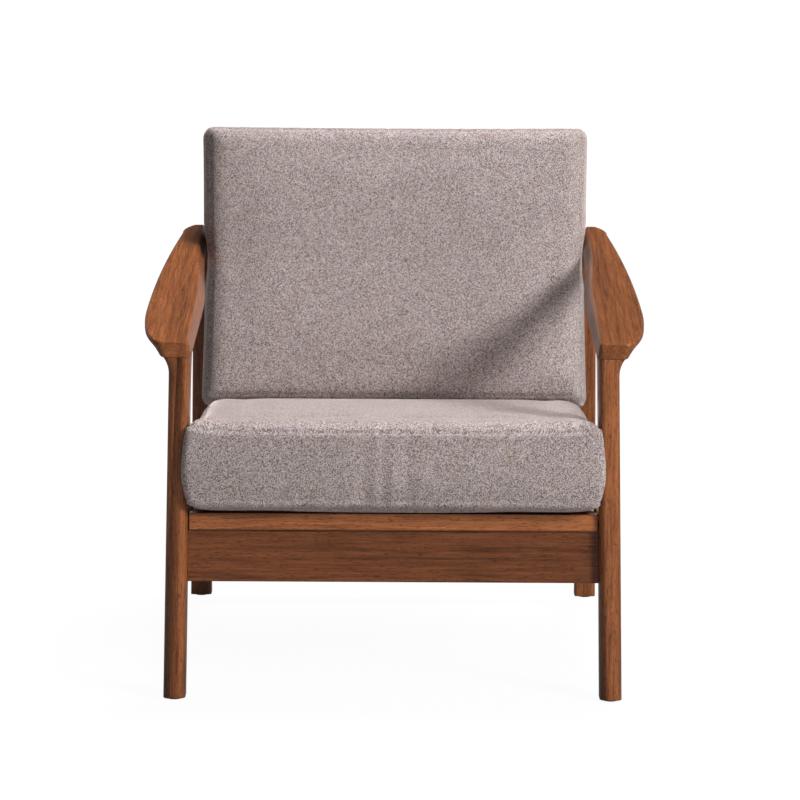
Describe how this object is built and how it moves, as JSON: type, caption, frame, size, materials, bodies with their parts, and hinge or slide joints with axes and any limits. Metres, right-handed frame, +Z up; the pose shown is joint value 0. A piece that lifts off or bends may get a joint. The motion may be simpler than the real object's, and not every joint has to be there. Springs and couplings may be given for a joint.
{
  "type": "lounge armchair",
  "caption": "Lounge armchair with a stained hardwood frame, paddle arms, slatted seat deck and back, and loose box cushions on seat and back.",
  "frame": {"origin": "on the floor, under the middle of the chair's width and depth", "axes": "+Z up, -Y out of the chair's front, +X to the right of someone who faces the chair's front"},
  "size_m": [0.716, 0.7076, 0.7662],
  "materials": {
    "walnut_stained_wood": "satin lacquer",
    "plain_wood": "planed, unlacquered",
    "beech_dowel": "fluted, glued",
    "fabric": "heathered woven upholstery",
    "foam": "open cell foam",
    "nylon": "moulded",
    "zinc_steel": "zinc plated"
  },
  "bodies": {
    "frame": {"arm_dowels": "beech_dowel", "back_bottom_rail": "walnut_stained_wood", "back_frame_bolts": "zinc_steel", "back_frame_dowels": "beech_dowel", "back_left_stile": "walnut_stained_wood", "back_right_stile": "walnut_stained_wood", "back_slat_1": "walnut_stained_wood", "back_slat_2": "walnut_stained_wood", "back_slat_3": "walnut_stained_wood", "back_slat_4": "walnut_stained_wood", "back_slat_5": "walnut_stained_wood", "back_top_rail": "walnut_stained_wood", "batten_screws": "zinc_steel", "block_screws": "zinc_steel", "deck_dowels": "beech_dowel", "front_apron": "walnut_stained_wood", "insert_nuts": "zinc_steel", "left_arm": "walnut_stained_wood", "left_front_corner_block": "plain_wood", "left_front_leg": "walnut_stained_wood", "left_rear_corner_block": "plain_wood", "left_rear_leg": "walnut_stained_wood", "left_seat_batten": "plain_wood", "left_side_rail": "walnut_stained_wood", "leg_glides": "nylon", "rail_dowels": "beech_dowel", "rear_apron": "walnut_stained_wood", "right_arm": "walnut_stained_wood", "right_front_corner_block": "plain_wood", "right_front_leg": "walnut_stained_wood", "right_rear_corner_block": "plain_wood", "right_rear_leg": "walnut_stained_wood", "right_seat_batten": "plain_wood", "right_side_rail": "walnut_stained_wood", "seat_front_rail": "walnut_stained_wood", "seat_left_rail": "plain_wood", "seat_rear_rail": "plain_wood", "seat_right_rail": "plain_wood", "seat_slat_1": "plain_wood", "seat_slat_2": "plain_wood", "seat_slat_3": "plain_wood", "seat_slat_4": "plain_wood", "seat_slat_5": "plain_wood", "seat_slat_6": "plain_wood", "slat_screws": "zinc_steel"},
    "seat_cushion": {"seat_cushion_cover": "fabric", "seat_cushion_core": "foam", "seat_cushion_zip": "nylon"},
    "back_cushion": {"back_cushion_cover": "fabric", "back_cushion_core": "foam", "back_cushion_zip": "nylon"}
  },
  "joints": [
    {"name": "seat_cushion_slide", "type": "slide", "parent": "frame", "child": "seat_cushion", "axis": [0, -0.9954, 0.0958], "range_m": [0, 0.25]},
    {"name": "back_cushion_slide", "type": "slide", "parent": "frame", "child": "back_cushion", "axis": [0, 0.309, 0.9511], "range_m": [0, 0.3]}
  ]
}
